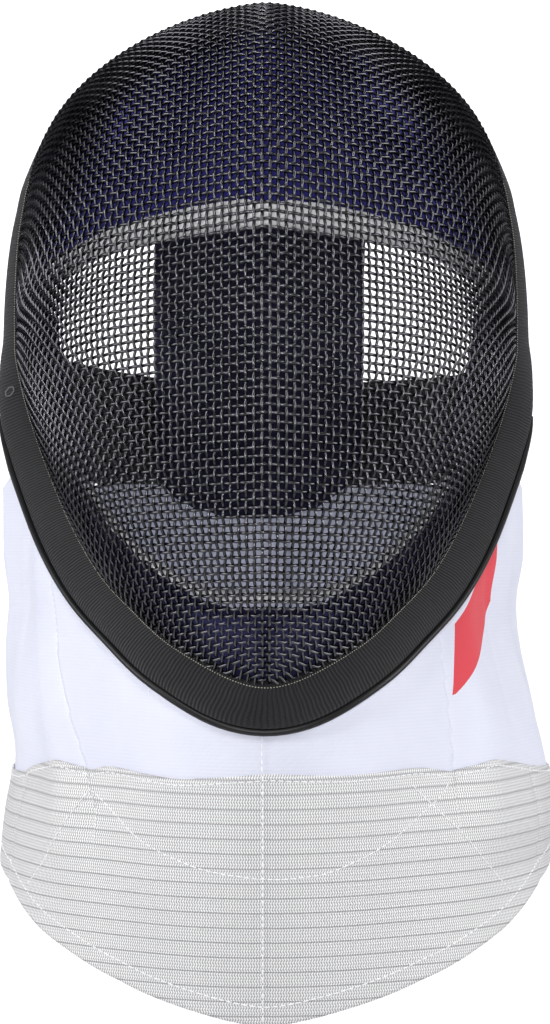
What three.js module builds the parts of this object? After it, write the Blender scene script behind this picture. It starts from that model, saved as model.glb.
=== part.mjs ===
// A fencing mask with a wire face, a padded trim, an open back with a tongue and a strap, and a bib.
// Millimetres, +Z up, the face looks along -Y. The origin is where the crown of the head rests.

import * as THREE from 'three';

// Gaps and walls
const fit = 0.3;
const wireWall = 2;
const clothWall = 2;
const lameWall = 1;

// The bowl: a row for each cross section, from the chin up the ridge to the back of the crown.
// ridge and edge are where a section starts on the middle line and ends under the trim,
// crease is the angle of the middle fold, round how boxy the section is and flare how far the trim
// stands out from the edge.
const bowlRows = [
  { ridgeY: -125, ridgeZ: -261, edgeX: 10, edgeY: -124, edgeZ: -260.5, crease: 34, round: 2.6, flare: 17.8 },
  { ridgeY: -141, ridgeZ: -247, edgeX: 35, edgeY: -112, edgeZ: -247, crease: 34, round: 2.6, flare: 17.6 },
  { ridgeY: -152, ridgeZ: -233, edgeX: 52, edgeY: -93, edgeZ: -233, crease: 33, round: 2.6, flare: 17.3 },
  { ridgeY: -161, ridgeZ: -218, edgeX: 66.5, edgeY: -72, edgeZ: -219, crease: 29, round: 2.6, flare: 17.3 },
  { ridgeY: -167, ridgeZ: -200, edgeX: 79.5, edgeY: -49, edgeZ: -200, crease: 24, round: 2.6, flare: 17.5 },
  { ridgeY: -170, ridgeZ: -177, edgeX: 91.5, edgeY: -24, edgeZ: -177, crease: 20, round: 2.6, flare: 16.6 },
  { ridgeY: -170.5, ridgeZ: -152, edgeX: 102, edgeY: -3, edgeZ: -152, crease: 20, round: 2.6, flare: 16.2 },
  { ridgeY: -168, ridgeZ: -122, edgeX: 108.6, edgeY: 7, edgeZ: -127, crease: 19, round: 2.6, flare: 9.2 },
  { ridgeY: -163, ridgeZ: -94, edgeX: 109.8, edgeY: 12, edgeZ: -113, crease: 19, round: 2.5, flare: 7.2 },
  { ridgeY: -156, ridgeZ: -62, edgeX: 110, edgeY: 15, edgeZ: -95, crease: 18, round: 2.3, flare: 6.8 },
  { ridgeY: -132, ridgeZ: -22, edgeX: 109.5, edgeY: 21, edgeZ: -73, crease: 17, round: 2.1, flare: 5.6 },
  { ridgeY: -105, ridgeZ: -2, edgeX: 107.5, edgeY: 24, edgeZ: -57, crease: 12, round: 2, flare: 4.8 },
  { ridgeY: -75, ridgeZ: 9, edgeX: 104.5, edgeY: 26, edgeZ: -43, crease: 9, round: 2, flare: 4.5 },
  { ridgeY: -25, ridgeZ: 15, edgeX: 95, edgeY: 29, edgeZ: -20, crease: 8, round: 2.05, flare: 3.6 },
  { ridgeY: 5, ridgeZ: 14, edgeX: 86, edgeY: 33, edgeZ: -7, crease: 9, round: 2.05, flare: 3.2 },
  { ridgeY: 28, ridgeZ: 12.5, edgeX: 62, edgeY: 39, edgeZ: 4, crease: 12, round: 2, flare: 3 },
  { ridgeY: 45, ridgeZ: 10, edgeX: 10, edgeY: 45, edgeZ: 10, crease: 8, round: 2, flare: 3 },
];
const lastRow = bowlRows.length - 1;
const sectionFill = 0.985;
const creaseSoftness = 0.05;
const mostCreased = 0.85;
const bowlSteps = 28;
const bowlColumns = 20;
const wireLip = 6;
const headMiddle = { x: 0, y: -40, z: -130 };

// The trim: its width from the seam to its outer edge, and its section as distance from the seam
// and height over the wire. Below the ears the piping takes the last part of the width.
const trimWidth = 20;
const trimSection = [
  { out: 0, up: fit },
  { out: 0.16, up: 1.8 },
  { out: 0.5, up: 2.4 },
  { out: 0.86, up: 1.5 },
  { out: 1, up: -1 },
  { out: 0.84, up: -3.6 },
  { out: 0.5, up: -6.4 },
  { out: 0.12, up: -4.2 },
  { out: 0, up: -wireWall - fit },
];
const piping = { radius: 1.6, up: 0.2, endStep: 10, sides: 6 };

// Linings, each with its thickness and the rows of the bowl that it spans
const liningGap = 1.2;
const crownLining = { from: 8.4, to: 15, side: 0.88, edgeThick: 6, thick: 10.7, steps: 10, columns: 16 };
const crownFull = { along: 0.25, sideFrom: -0.05, sideTo: 0.15 };
const sideLining = { from: 5.3, to: 8.3, inFrom: 0.02, inTo: 0.1, edge: 5, thick: 15, steps: 5, columns: 4 };
const chinLining = { from: 0.22, middle: 2.1, top: 5.2, side: 0.94, thick: 6, steps: 5, columns: 18 };
const chinEdge = { thick: 3, grownBy: 0.3 };
const chinCurve = { rise: 19, power: 4.4 };
const binding = { rows: 0.29, gap: 0.05, thick: 4.5, upperSide: 0.77, upperColumns: 16, lowerColumns: 12 };

// The tongue, down its middle line from the trim, and the strap behind it
const tonguePath = [
  { y: 48, z: 1.8 },
  { y: 66, z: 0.3 },
  { y: 84, z: -8 },
  { y: 100, z: -26 },
  { y: 111, z: -54 },
  { y: 116, z: -90 },
  { y: 117, z: -125 },
  { y: 114.5, z: -160 },
  { y: 107, z: -192 },
];
const tongue = { width: 102, thick: 10, bow: 7, roundEnd: 44, lean: -4, steps: 18, columns: 8 };
const tongueEnds = { tip: 0.6, tipThin: 0.35, rootThin: 0.6, rootGrow: 4, stepsToTip: 1.5, edgeThin: 0.75 };
const strap = { endX: 108.8, endY: 24, backY: 122.6, top: -124, bottom: -176, wall: 2, steps: 24 };
const strapSquareness = 2.5;

// The bib hangs from the inside of the trim and goes round to a lap at the nape.
// hem says how low it reaches round the neck, and sway how the sides swing in and out on the way down.
const bib = { left: 113.5, right: 119, leftTop: 117.5, rightTop: 114.5, front: 105, back: 131 };
const bibRound = { squareness: 2.5, wingFrom: 96, wingTo: 183, lapStep: 4.2, lapFrom: 140 };
const bibSeat = { out: 12, up: -5.2 };
const bibCount = { frontSteps: 10, wingSteps: 12, upperRows: 4, lowerRows: 4 };
const wingTop = [
  { around: 96, z: -181 },
  { around: 115, z: -183 },
  { around: 150, z: -175 },
  { around: 183, z: -170 },
];
const hem = [
  { around: 0, z: -391 },
  { around: 15, z: -385 },
  { around: 30, z: -376 },
  { around: 51, z: -361 },
  { around: 70, z: -346 },
  { around: 90, z: -337 },
  { around: 120, z: -327 },
  { around: 150, z: -315 },
  { around: 184, z: -308 },
];
const sway = [
  { z: -182, left: 0, right: 0 },
  { z: -212, left: 0, right: -1 },
  { z: -230, left: -1.7, right: -4.4 },
  { z: -249, left: 0, right: -3.6 },
  { z: -275, left: 0, right: 1.4 },
  { z: -297, left: -3, right: 5 },
  { z: -320, left: -0.5, right: 6.4 },
  { z: -338, left: 0, right: 2 },
];
const foldTop = -225;
const foldLow = -310;
const foldFade = { grownBy: 0.25, fadeFrom: 0.6, fadeBy: 0.8 };
const folds = [
  { topAround: -68, lowAround: -37, height: 4, width: 8 },
  { topAround: 54, lowAround: 42, height: 4, width: 8 },
  { topAround: -8, lowAround: -20, height: 2, width: 9 },
];
const lameTop = { front: -295, side: -303 };

// Small helpers
const vec = (x, y, z) => new THREE.Vector3(x, y, z);
const radians = THREE.MathUtils.degToRad;
const mix = THREE.MathUtils.lerp;
const clamp = THREE.MathUtils.clamp;
const smooth = THREE.MathUtils.smoothstep;
const steps = (count) => Array.from({ length: count + 1 }, (_, i) => i / count);

// A value between the rows of a table, on a smooth curve through them.
function between(rows, place, name) {
  const low = clamp(Math.floor(place), 0, rows.length - 2);
  const pick = (i) => rows[clamp(i, 0, rows.length - 1)][name];
  const t = place - low;
  const before = (pick(low + 1) - pick(low - 1)) / 2;
  const after = (pick(low + 2) - pick(low)) / 2;
  const a = 2 * pick(low) - 2 * pick(low + 1) + before + after;
  const b = -3 * pick(low) + 3 * pick(low + 1) - 2 * before - after;
  return ((a * t + b) * t + before) * t + pick(low);
}

// The same, for a table that is looked up by one of its own columns.
function lookUp(rows, key, value, name) {
  const rising = rows[rows.length - 1][key] > rows[0][key];
  const passed = (row) => (rising ? row[key] <= value : row[key] >= value);
  const low = clamp(rows.filter(passed).length - 1, 0, rows.length - 2);
  const t = clamp((value - rows[low][key]) / (rows[low + 1][key] - rows[low][key]), 0, 1);
  return between(rows, low + t, name);
}

// A closed body between an outer and an inner grid of points. lip, where given, carries the rim of the
// body on past the grid.
function skinBody({ outer, inner, lip = null }) {
  const rows = outer.length;
  const last = outer[0].length - 1;
  const points = [...outer.flat(), ...inner.flat()];
  const layer = rows * (last + 1);
  const at = ([i, j], side) => side * layer + i * (last + 1) + j;
  const faces = [];
  const quad = (a, b, c, d) => faces.push(a, b, c, a, c, d);
  for (let i = 0; i < rows - 1; i++) {
    for (let j = 0; j < last; j++) {
      const [a, b, c, d] = [[i, j], [i, j + 1], [i + 1, j + 1], [i + 1, j]];
      quad(at(a, 0), at(b, 0), at(c, 0), at(d, 0));
      quad(at(a, 1), at(d, 1), at(c, 1), at(b, 1));
    }
  }
  const up = Array.from({ length: rows }, (_, i) => [i, last]);
  const down = Array.from({ length: rows }, (_, i) => [rows - 1 - i, 0]);
  const over = Array.from({ length: last - 1 }, (_, j) => [0, j + 1]);
  const under = Array.from({ length: last - 1 }, (_, j) => [rows - 1, last - 1 - j]);
  const edge = [...over, ...up, ...under, ...down];
  const ring = edge.map((corner) => [at(corner, 0), at(corner, 1)]);
  const lipRing = lip && edge.map(([i, j]) => {
    points.push(...lip(i, j));
    return [points.length - 2, points.length - 1];
  });
  ring.forEach(([a, b], k) => {
    const next = (k + 1) % ring.length;
    const [c, d] = ring[next];
    if (!lipRing) {
      quad(b, d, c, a);
      return;
    }
    const [e, f] = lipRing[k];
    const [g, h] = lipRing[next];
    quad(e, g, c, a);
    quad(f, h, g, e);
    quad(b, d, h, f);
  });
  return facesOut(points, faces);
}

// A closed body lofted through rings of points, with flat ends or joined into a loop.
function ringBody(rings, looped = false) {
  const sides = rings[0].length;
  const at = (i, j) => (i % rings.length) * sides + (j % sides);
  const faces = [];
  const ringPairs = looped ? rings.length : rings.length - 1;
  for (let i = 0; i < ringPairs; i++) {
    for (let j = 0; j < sides; j++) {
      faces.push(at(i, j), at(i, j + 1), at(i + 1, j + 1), at(i, j), at(i + 1, j + 1), at(i + 1, j));
    }
  }
  if (!looped) {
    const end = rings.length - 1;
    for (let j = 1; j < sides - 1; j++) {
      faces.push(at(0, 0), at(0, j + 1), at(0, j));
      faces.push(at(end, 0), at(end, j), at(end, j + 1));
    }
  }
  return facesOut(rings.flat(), faces);
}

// A geometry of these points and triangles, turned so that its faces point out of the body.
function facesOut(points, faces) {
  let volume = 0;
  for (let i = 0; i < faces.length; i += 3) {
    const [a, b, c] = [points[faces[i]], points[faces[i + 1]], points[faces[i + 2]]];
    volume += a.dot(b.clone().cross(c));
  }
  if (volume < 0) faces.reverse();
  const geometry = new THREE.BufferGeometry();
  geometry.setFromPoints(points);
  geometry.setIndex(faces);
  geometry.computeVertexNormals();
  return geometry;
}

// The outer and inner grids of a wall, moved off a grid of points along its normals.
function wall(grid, outerMove, innerMove) {
  const at = (i, j) => grid[clamp(i, 0, grid.length - 1)][clamp(j, 0, grid[0].length - 1)];
  const moved = (distance) => grid.map((row, i) => row.map((point, j) => {
    const along = at(i, j + 1).clone().sub(at(i, j - 1));
    const across = at(i + 1, j).clone().sub(at(i - 1, j));
    return point.clone().addScaledVector(along.cross(across).normalize(), distance);
  }));
  return { outer: moved(outerMove), inner: moved(innerMove) };
}

// One cross section of the bowl, from the left edge over the ridge to the right edge.
class BowlSection extends THREE.Curve {
  constructor(row) {
    super();
    this.arcLengthDivisions = 300;
    this.ridge = vec(0, between(bowlRows, row, 'ridgeY'), between(bowlRows, row, 'ridgeZ'));
    this.edge = vec(0, between(bowlRows, row, 'edgeY'), between(bowlRows, row, 'edgeZ'));
    this.width = between(bowlRows, row, 'edgeX');
    const depth = Math.max(this.ridge.distanceTo(this.edge), 0.01);
    const slope = Math.tan(radians(between(bowlRows, row, 'crease')));
    this.creased = Math.min((slope * this.width) / depth, mostCreased);
    this.round = between(bowlRows, row, 'round');
  }

  getPoint(t, target = vec()) {
    const side = Math.sin((t - 0.5) * Math.PI);
    const out = Math.abs(side);
    const straight = (u) => Math.hypot(u, creaseSoftness) - creaseSoftness;
    const round = (u) => 1 - Math.pow(1 - Math.pow(u * sectionFill, this.round), 1 / this.round);
    const back = mix(round(out) / round(1), straight(out) / straight(1), this.creased);
    return target.copy(this.ridge).lerp(this.edge, back).setX(side * this.width);
  }
}

// A point of the bowl's outer face, where across runs from 0 at the left edge to 1 at the right.
const bowlPoint = (row, across) => new BowlSection(row).getPointAt(clamp(across, 0, 1));

// A point at a depth under the bowl's outer face.
function underBowl(row, across, depth) {
  const rowStep = 0.02;
  const acrossStep = 0.01;
  const along = bowlPoint(Math.min(row + rowStep, lastRow), across);
  along.sub(bowlPoint(Math.max(row - rowStep, 0), across));
  const sideways = bowlPoint(row, across + acrossStep).sub(bowlPoint(row, across - acrossStep));
  return bowlPoint(row, across).addScaledVector(sideways.cross(along).normalize(), -depth);
}

// Where the edge of the wire is and which way the trim runs on from it. side is 1 on the right,
// -1 on the left and 0 on the middle line.
function rimFrame(row, side) {
  const step = 0.05;
  const place = (r) => vec(between(bowlRows, r, 'edgeX'), 0, between(bowlRows, r, 'edgeZ'));
  const along = place(Math.min(row + step, lastRow)).sub(place(Math.max(row - step, 0))).normalize();
  const flare = between(bowlRows, row, 'flare');
  const back = Math.sqrt(trimWidth ** 2 - flare ** 2);
  const outX = side * along.z;
  const outZ = side === 0 ? Math.sign(row - 1) : -along.x;
  return {
    row,
    side,
    edge: bowlPoint(row, (side + 1) / 2),
    out: vec(outX * flare, back, outZ * flare).normalize(),
  };
}

// The frames all round the edge, from the middle of the chin up the right side and down the left,
// each with its up, which points out of the bowl.
function rimLoop() {
  const rows = steps(bowlSteps).map((share) => share * lastRow);
  const right = rows.map((row) => rimFrame(row, 1));
  const left = rows.map((row) => rimFrame(row, -1));
  const loop = [rimFrame(0, 0), ...right, rimFrame(lastRow, 0), ...left.reverse()];
  const inside = vec(headMiddle.x, headMiddle.y, headMiddle.z);
  loop.forEach((frame, i) => {
    const along = loop[(i + 1) % loop.length].edge.clone().sub(loop.at(i - 1).edge);
    frame.up = along.cross(frame.out).normalize();
    if (frame.up.dot(frame.edge.clone().sub(inside)) < 0) frame.up.negate();
  });
  return loop;
}

const rim = rimLoop();
const rimAt = (step, side) => rim.at(side > 0 ? step + 1 : -1 - step);
const onRim = ({ edge, out, up }, away, height) => (
  edge.clone().addScaledVector(out, away).addScaledVector(up, height)
);

// The frame at a point of the bowl's first or last row, between the middle frame and a corner frame.
function rimBetween(middle, corner, point) {
  const share = clamp(point.x / corner.edge.x, 0, 1);
  return {
    edge: point,
    out: middle.out.clone().lerp(corner.out, share).normalize(),
    up: middle.up.clone().lerp(corner.up, share).normalize(),
  };
}

function meshBowl() {
  const outer = steps(bowlSteps).map((share) => {
    const section = new BowlSection(share * lastRow);
    return steps(bowlColumns).map((across) => section.getPointAt(across));
  });
  const rimOf = (i, j) => {
    if (j === 0) return rimAt(i, -1);
    if (j === bowlColumns) return rimAt(i, 1);
    const middle = i === 0 ? rim[0] : rim[bowlSteps + 2];
    return rimBetween(middle, rimAt(i, j < bowlColumns / 2 ? -1 : 1), outer[i][j]);
  };
  const inner = outer.map((row, i) => row.map((point, j) => {
    const onEdge = i === 0 || i === bowlSteps || j === 0 || j === bowlColumns;
    if (onEdge) return onRim(rimOf(i, j), 0, -wireWall);
    return underBowl((i * lastRow) / bowlSteps, j / bowlColumns, wireWall);
  }));
  const lip = (i, j) => {
    const frame = rimOf(i, j);
    return [onRim(frame, wireLip, 0), onRim(frame, wireLip, -wireWall)];
  };
  return skinBody({ outer, inner, lip });
}

// How wide the trim is at a step of the loop: the piping takes the last of its width below the ears.
const besidePiping = (frame) => frame.row <= (piping.endStep + 1) * (lastRow / bowlSteps);

function trimBand() {
  const slot = [
    { away: wireLip + fit, up: -wireWall - fit },
    { away: wireLip + fit, up: fit },
  ];
  const rings = rim.map((frame) => {
    const width = besidePiping(frame) ? trimWidth - 2 * piping.radius - fit : trimWidth;
    const outside = trimSection.map(({ out, up }) => onRim(frame, out * width, up));
    return [...outside, ...slot.map(({ away, up }) => onRim(frame, away, up))];
  });
  return ringBody(rings, true);
}

// The frames from the left ear down round the chin to the right ear.
function lowerRim(endStep) {
  const right = steps(endStep).map((share) => rimAt(Math.round(share * endStep), 1));
  const left = steps(endStep).map((share) => rimAt(Math.round((1 - share) * endStep), -1));
  return [...left, rim[0], ...right];
}

function trimPiping() {
  const rings = lowerRim(piping.endStep).map((frame) => (
    Array.from({ length: piping.sides }, (_, k) => {
      const angle = (k / piping.sides) * 2 * Math.PI;
      const away = trimWidth - piping.radius * (1 - Math.cos(angle));
      return onRim(frame, away, piping.up + piping.radius * Math.sin(angle));
    })
  ));
  return ringBody(rings);
}

// A pad against the inside of the bowl. rowsAt gives its first and last row at a place across it,
// and thickAt its thickness at a share of the way along and across.
function liningPad({ acrossFrom, acrossTo, columns, rowSteps, rowsAt, thickAt }) {
  const top = wireWall + liningGap;
  const grid = (depthAt) => steps(rowSteps).map((along) => steps(columns).map((share) => {
    const across = mix(acrossFrom, acrossTo, share);
    const [from, to] = rowsAt(across);
    return underBowl(mix(from, to, along), across, depthAt(along, share));
  }));
  return skinBody({ outer: grid(() => top), inner: grid((along, share) => top + thickAt(along, share)) });
}

function crownPad() {
  const { from, to, side, edgeThick, thick, steps: rowSteps, columns } = crownLining;
  const full = (along, share) => {
    const fromSide = Math.min(share, 1 - share);
    return smooth(along, 0, crownFull.along) * smooth(fromSide, crownFull.sideFrom, crownFull.sideTo);
  };
  return liningPad({
    acrossFrom: (1 - side) / 2,
    acrossTo: (1 + side) / 2,
    columns,
    rowSteps,
    rowsAt: () => [from, to],
    thickAt: (along, share) => mix(edgeThick, thick, full(along, share)),
  });
}

function sidePad(side) {
  const { from, to, inFrom, inTo, edge, thick, steps: rowSteps, columns } = sideLining;
  return liningPad({
    acrossFrom: side < 0 ? inFrom : 1 - inFrom,
    acrossTo: side < 0 ? inTo : 1 - inTo,
    columns,
    rowSteps,
    rowsAt: () => [from, to],
    thickAt: (along, share) => mix(thick, edge, share),
  });
}

// The row where the chin lining ends at a place across: low in the middle, high at the cheeks.
function chinTop(across) {
  const rise = chinCurve.rise * Math.pow(Math.abs(2 * across - 1), chinCurve.power);
  return Math.min(chinLining.middle + rise, chinLining.top);
}

function chinPad() {
  const { from, side, thick, steps: rowSteps, columns } = chinLining;
  return liningPad({
    acrossFrom: (1 - side) / 2,
    acrossTo: (1 + side) / 2,
    columns,
    rowSteps,
    rowsAt: (across) => [from, chinTop(across)],
    thickAt: (along) => mix(chinEdge.thick, thick, smooth(along, 0, chinEdge.grownBy)),
  });
}

function bindingStrip(reach, columns, rowAt) {
  return liningPad({
    acrossFrom: (1 - reach) / 2,
    acrossTo: (1 + reach) / 2,
    columns,
    rowSteps: 1,
    rowsAt: (across) => [rowAt(across) + binding.gap, rowAt(across) + binding.rows],
    thickAt: () => binding.thick,
  });
}

function upperBinding() {
  const row = crownLining.from - binding.rows - 2 * binding.gap;
  return bindingStrip(binding.upperSide, binding.upperColumns, () => row);
}

function lowerBinding() {
  const reach = (chinLining.side * binding.lowerColumns) / chinLining.columns;
  return bindingStrip(reach, binding.lowerColumns, chinTop);
}

// The tongue: a padded strip that follows its path, bowed across and round at its free end.
function tongueBody() {
  const path = new THREE.CatmullRomCurve3(tonguePath.map(({ y, z }) => vec(0, y, z)));
  const length = path.getLength();
  const rings = steps(tongue.steps).map((share) => {
    const place = 1 - Math.pow(1 - share, tongueEnds.stepsToTip);
    const middle = path.getPointAt(place);
    const down = path.getTangentAt(place);
    const out = vec(0, -down.z, down.y);
    const left = Math.max((1 - place) * length, tongueEnds.tip);
    const inEnd = 1 - clamp(left / tongue.roundEnd, 0, 1);
    const half = (tongue.width / 2) * Math.sqrt(1 - inEnd ** 2);
    const tipShare = tongueEnds.tipThin + left / tongue.thick;
    const rootShare = tongueEnds.rootThin + tongueEnds.rootGrow * place;
    const thick = tongue.thick * Math.min(1, tipShare, rootShare);
    const at = (across, height) => {
      const bow = tongue.bow * ((across * half) / (tongue.width / 2)) ** 2;
      const point = middle.clone().addScaledVector(out, height * thick - bow);
      return point.setX(across * half + tongue.lean * place);
    };
    const edges = steps(tongue.columns).map((share) => 2 * share - 1);
    const rise = (across) => 0.5 * Math.sqrt(1 - tongueEnds.edgeThin * across ** 4);
    return [
      ...edges.map((across) => at(across, rise(across))),
      ...edges.reverse().map((across) => at(across, -rise(across))),
    ];
  });
  return ringBody(rings);
}

// The strap: a band on a rounded square path, from the right ear round the back of the head to the left.
function strapBody() {
  const { endX, endY, backY, top, bottom } = strap;
  const route = steps(strap.steps).map((share) => {
    const angle = share * Math.PI;
    const power = (value) => Math.sign(value) * Math.pow(Math.abs(value), 2 / strapSquareness);
    return vec(endX * power(Math.cos(angle)), endY + (backY - endY) * power(Math.sin(angle)), 0);
  });
  const grid = [bottom, top].map((z) => route.map((point) => point.clone().setZ(z)));
  return skinBody(wall(grid, 0, strap.wall));
}

// The columns of the bib, from the left end round the front to the right end. Each has its angle
// round the neck, its top point and its hem point.
function bibColumns() {
  const front = lowerRim(bibCount.frontSteps).map((frame) => {
    const top = onRim(frame, bibSeat.out, bibSeat.up);
    return { top, around: THREE.MathUtils.radToDeg(Math.atan2(top.x, -top.y)) };
  });
  const wing = (side) => steps(bibCount.wingSteps).map((share) => {
    const around = mix(bibRound.wingFrom, bibRound.wingTo, share);
    const width = side < 0 ? bib.leftTop : bib.rightTop;
    const top = aroundNeck(around, side, width, lookUp(wingTop, 'around', around, 'z'));
    return { top, around: side * around };
  });
  const all = [...wing(-1).reverse(), ...front, ...wing(1)];
  return all.map(({ top, around }) => {
    const side = Math.sign(around) || 1;
    const z = lookUp(hem, 'around', Math.abs(around), 'z');
    return { top, around, hem: aroundNeck(Math.abs(around), side, side < 0 ? bib.left : bib.right, z) };
  });
}

// A point round the neck at an angle from the front. The right end steps out over the left at the nape.
function aroundNeck(around, side, width, z) {
  const power = (value, p) => Math.sign(value) * Math.pow(Math.abs(value), p);
  const behind = around > 90;
  const shape = behind ? 2 / bibRound.squareness : 1;
  const lap = side > 0 ? bibRound.lapStep * smooth(around, bibRound.lapFrom, bibRound.wingTo - 8) : 0;
  const depth = behind ? bib.back + lap : bib.front;
  return vec(
    side * width * power(Math.sin(radians(around)), shape),
    -depth * power(Math.cos(radians(around)), shape),
    z,
  );
}

// A point of the bib's outer face, a share of the way from its top to its hem.
function bibPoint({ top, around, hem: bottom }, share) {
  const point = top.clone().lerp(bottom, share);
  const side = around < 0 ? 'left' : 'right';
  const swing = lookUp(sway, 'z', point.z, side) * Math.abs(Math.sin(radians(around))) ** 3;
  point.x += Math.sign(around) * swing;
  const outward = vec(point.x, point.y, 0).normalize();
  const down = (foldTop - point.z) / (foldTop - foldLow);
  const low = smooth(share, foldFade.fadeFrom, 1);
  const fade = smooth(share, 0, foldFade.grownBy) * (1 - foldFade.fadeBy * low);
  for (const { topAround, lowAround, height, width } of folds) {
    const off = (around - mix(topAround, lowAround, clamp(down, 0, 1))) / width;
    point.addScaledVector(outward, height * fade * Math.exp(-off * off));
  }
  return point;
}

// The grid of the bib's outer face, whose lower rows are where the silver panel lies.
function bibGrid() {
  const columns = bibColumns();
  const shares = columns.map(({ top, around, hem: low }) => {
    const z = mix(lameTop.front, lameTop.side, Math.min(Math.abs(Math.sin(radians(around))) ** 2, 1));
    return (top.z - z) / (top.z - low.z);
  });
  const level = (k) => columns.map((column, i) => {
    const { upperRows, lowerRows } = bibCount;
    const share = k <= upperRows
      ? (shares[i] * k) / upperRows
      : mix(shares[i], 1, (k - upperRows) / lowerRows);
    return bibPoint(column, share);
  });
  const lastLevel = bibCount.upperRows + bibCount.lowerRows;
  return Array.from({ length: lastLevel + 1 }, (_, k) => level(k).reverse());
}

const bibFace = bibGrid();

// The silver panel lies on the lower rows of the bib.
function bibLame() {
  const { outer, inner } = wall(bibFace, fit + lameWall, fit);
  return skinBody({ outer: outer.slice(bibCount.upperRows), inner: inner.slice(bibCount.upperRows) });
}

function material(color, roughness, metalness = 0) {
  return new THREE.MeshStandardMaterial({ color, roughness, metalness });
}

const wire = material(0x4a4b50, 0.4, 0.8);
const darkTape = material(0x333338, 0.85);
const darkLip = material(0x26262c, 0.4);
const navyCloth = material(0x1b1b33, 0.95);
const greyBinding = material(0xc9cad0, 0.9);
const blackElastic = material(0x17171a, 0.9);
const whiteCloth = material(0xeceffa, 0.95);
const silverCloth = material(0xcfcfd4, 0.55, 0.3);

const parts = {
  mesh_bowl: [meshBowl(), wire],
  trim_band: [trimBand(), darkTape],
  trim_piping: [trimPiping(), darkLip],
  crown_lining: [crownPad(), navyCloth],
  side_lining_left: [sidePad(-1), navyCloth],
  side_lining_right: [sidePad(1), navyCloth],
  chin_lining: [chinPad(), navyCloth],
  binding_upper: [upperBinding(), greyBinding],
  binding_lower: [lowerBinding(), greyBinding],
  tongue: [tongueBody(), navyCloth],
  back_strap: [strapBody(), blackElastic],
  bib_cloth: [skinBody(wall(bibFace, 0, -clothWall)), whiteCloth],
  bib_lame: [bibLame(), silverCloth],
};

const mask = new THREE.Group();
for (const [name, [geometry, finish]] of Object.entries(parts)) {
  const mesh = new THREE.Mesh(geometry, finish);
  mesh.name = name;
  mask.add(mesh);
}

export default mask;
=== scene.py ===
# Fencing mask: woven wire, ribbed trim, padded linings, a strap and a two-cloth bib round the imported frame.
# Lengths in the tables are millimetres in the frame's own axes: +Z up, the face looks along -Y.

import math
import bpy
import numpy as np
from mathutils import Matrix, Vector


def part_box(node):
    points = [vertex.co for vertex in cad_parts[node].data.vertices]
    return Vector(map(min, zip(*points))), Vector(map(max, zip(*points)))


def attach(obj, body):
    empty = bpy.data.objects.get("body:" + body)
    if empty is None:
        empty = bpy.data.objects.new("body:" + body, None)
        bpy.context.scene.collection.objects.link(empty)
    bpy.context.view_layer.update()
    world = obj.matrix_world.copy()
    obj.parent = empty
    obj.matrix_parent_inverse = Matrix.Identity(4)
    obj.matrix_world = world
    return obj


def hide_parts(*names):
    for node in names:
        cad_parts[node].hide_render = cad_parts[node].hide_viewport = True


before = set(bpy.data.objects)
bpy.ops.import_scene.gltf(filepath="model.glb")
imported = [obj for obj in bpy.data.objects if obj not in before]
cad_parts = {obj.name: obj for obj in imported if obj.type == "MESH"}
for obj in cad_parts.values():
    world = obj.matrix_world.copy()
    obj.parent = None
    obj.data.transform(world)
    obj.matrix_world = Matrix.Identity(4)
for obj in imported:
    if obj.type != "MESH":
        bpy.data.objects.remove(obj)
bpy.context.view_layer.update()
print("Frame loaded,", len(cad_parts), "solids")

mm = 0.001
scene = bpy.context.scene


# Camera and colours

cameraSetup = {"place": (0, -0.9, -0.212), "lens": 72.9, "sensor": 36, "shiftX": 0.0088, "shiftY": 0.045}


def addCamera(setup):
    data = bpy.data.cameras.new("camera")
    data.lens = setup["lens"]
    data.sensor_width = setup["sensor"]
    data.shift_x = setup["shiftX"]
    data.shift_y = setup["shiftY"]
    data.dof.use_dof = False
    camera = bpy.data.objects.new("camera", data)
    camera.location = setup["place"]
    camera.rotation_euler = (math.radians(90), 0, 0)
    scene.collection.objects.link(camera)
    scene.camera = camera


addCamera(cameraSetup)


def linear(hexColour):
    # sRGB hex to the linear colour that the shaders take
    parts = [int(hexColour[i:i + 2], 16) / 255 for i in (1, 3, 5)]
    return tuple(c / 12.92 if c <= 0.04045 else ((c + 0.055) / 1.055) ** 2.4 for c in parts) + (1,)


# Small tools for tables and meshes

def between(rows, place):
    # the values of a table at fractional rows, on a smooth curve through them
    rows = np.asarray(rows, float)
    place = np.asarray(place, float)
    low = np.clip(np.floor(place).astype(int), 0, len(rows) - 2)
    t = (place - low)[..., None]
    pick = lambda step: rows[np.clip(low + step, 0, len(rows) - 1)]
    start = (pick(1) - pick(-1)) / 2
    end = (pick(2) - pick(0)) / 2
    a = 2 * pick(0) - 2 * pick(1) + start + end
    b = 3 * pick(1) - 3 * pick(0) - 2 * start - end
    return ((a * t + b) * t + start) * t + pick(0)


def lookUp(table, value):
    # the same for a table whose first column is the key
    rows = np.asarray(table, float)
    if rows[-1, 0] < rows[0, 0]:
        rows = rows[::-1]
    place = np.interp(value, rows[:, 0], np.arange(len(rows)))
    return between(rows[:, 1:], place)


def unit(vectors):
    return vectors / np.maximum(np.linalg.norm(vectors, axis=-1, keepdims=True), 1e-9)


def smoothstep(value, low, high):
    t = np.clip((np.asarray(value, float) - low) / (high - low), 0, 1)
    return t * t * (3 - 2 * t)


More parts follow.
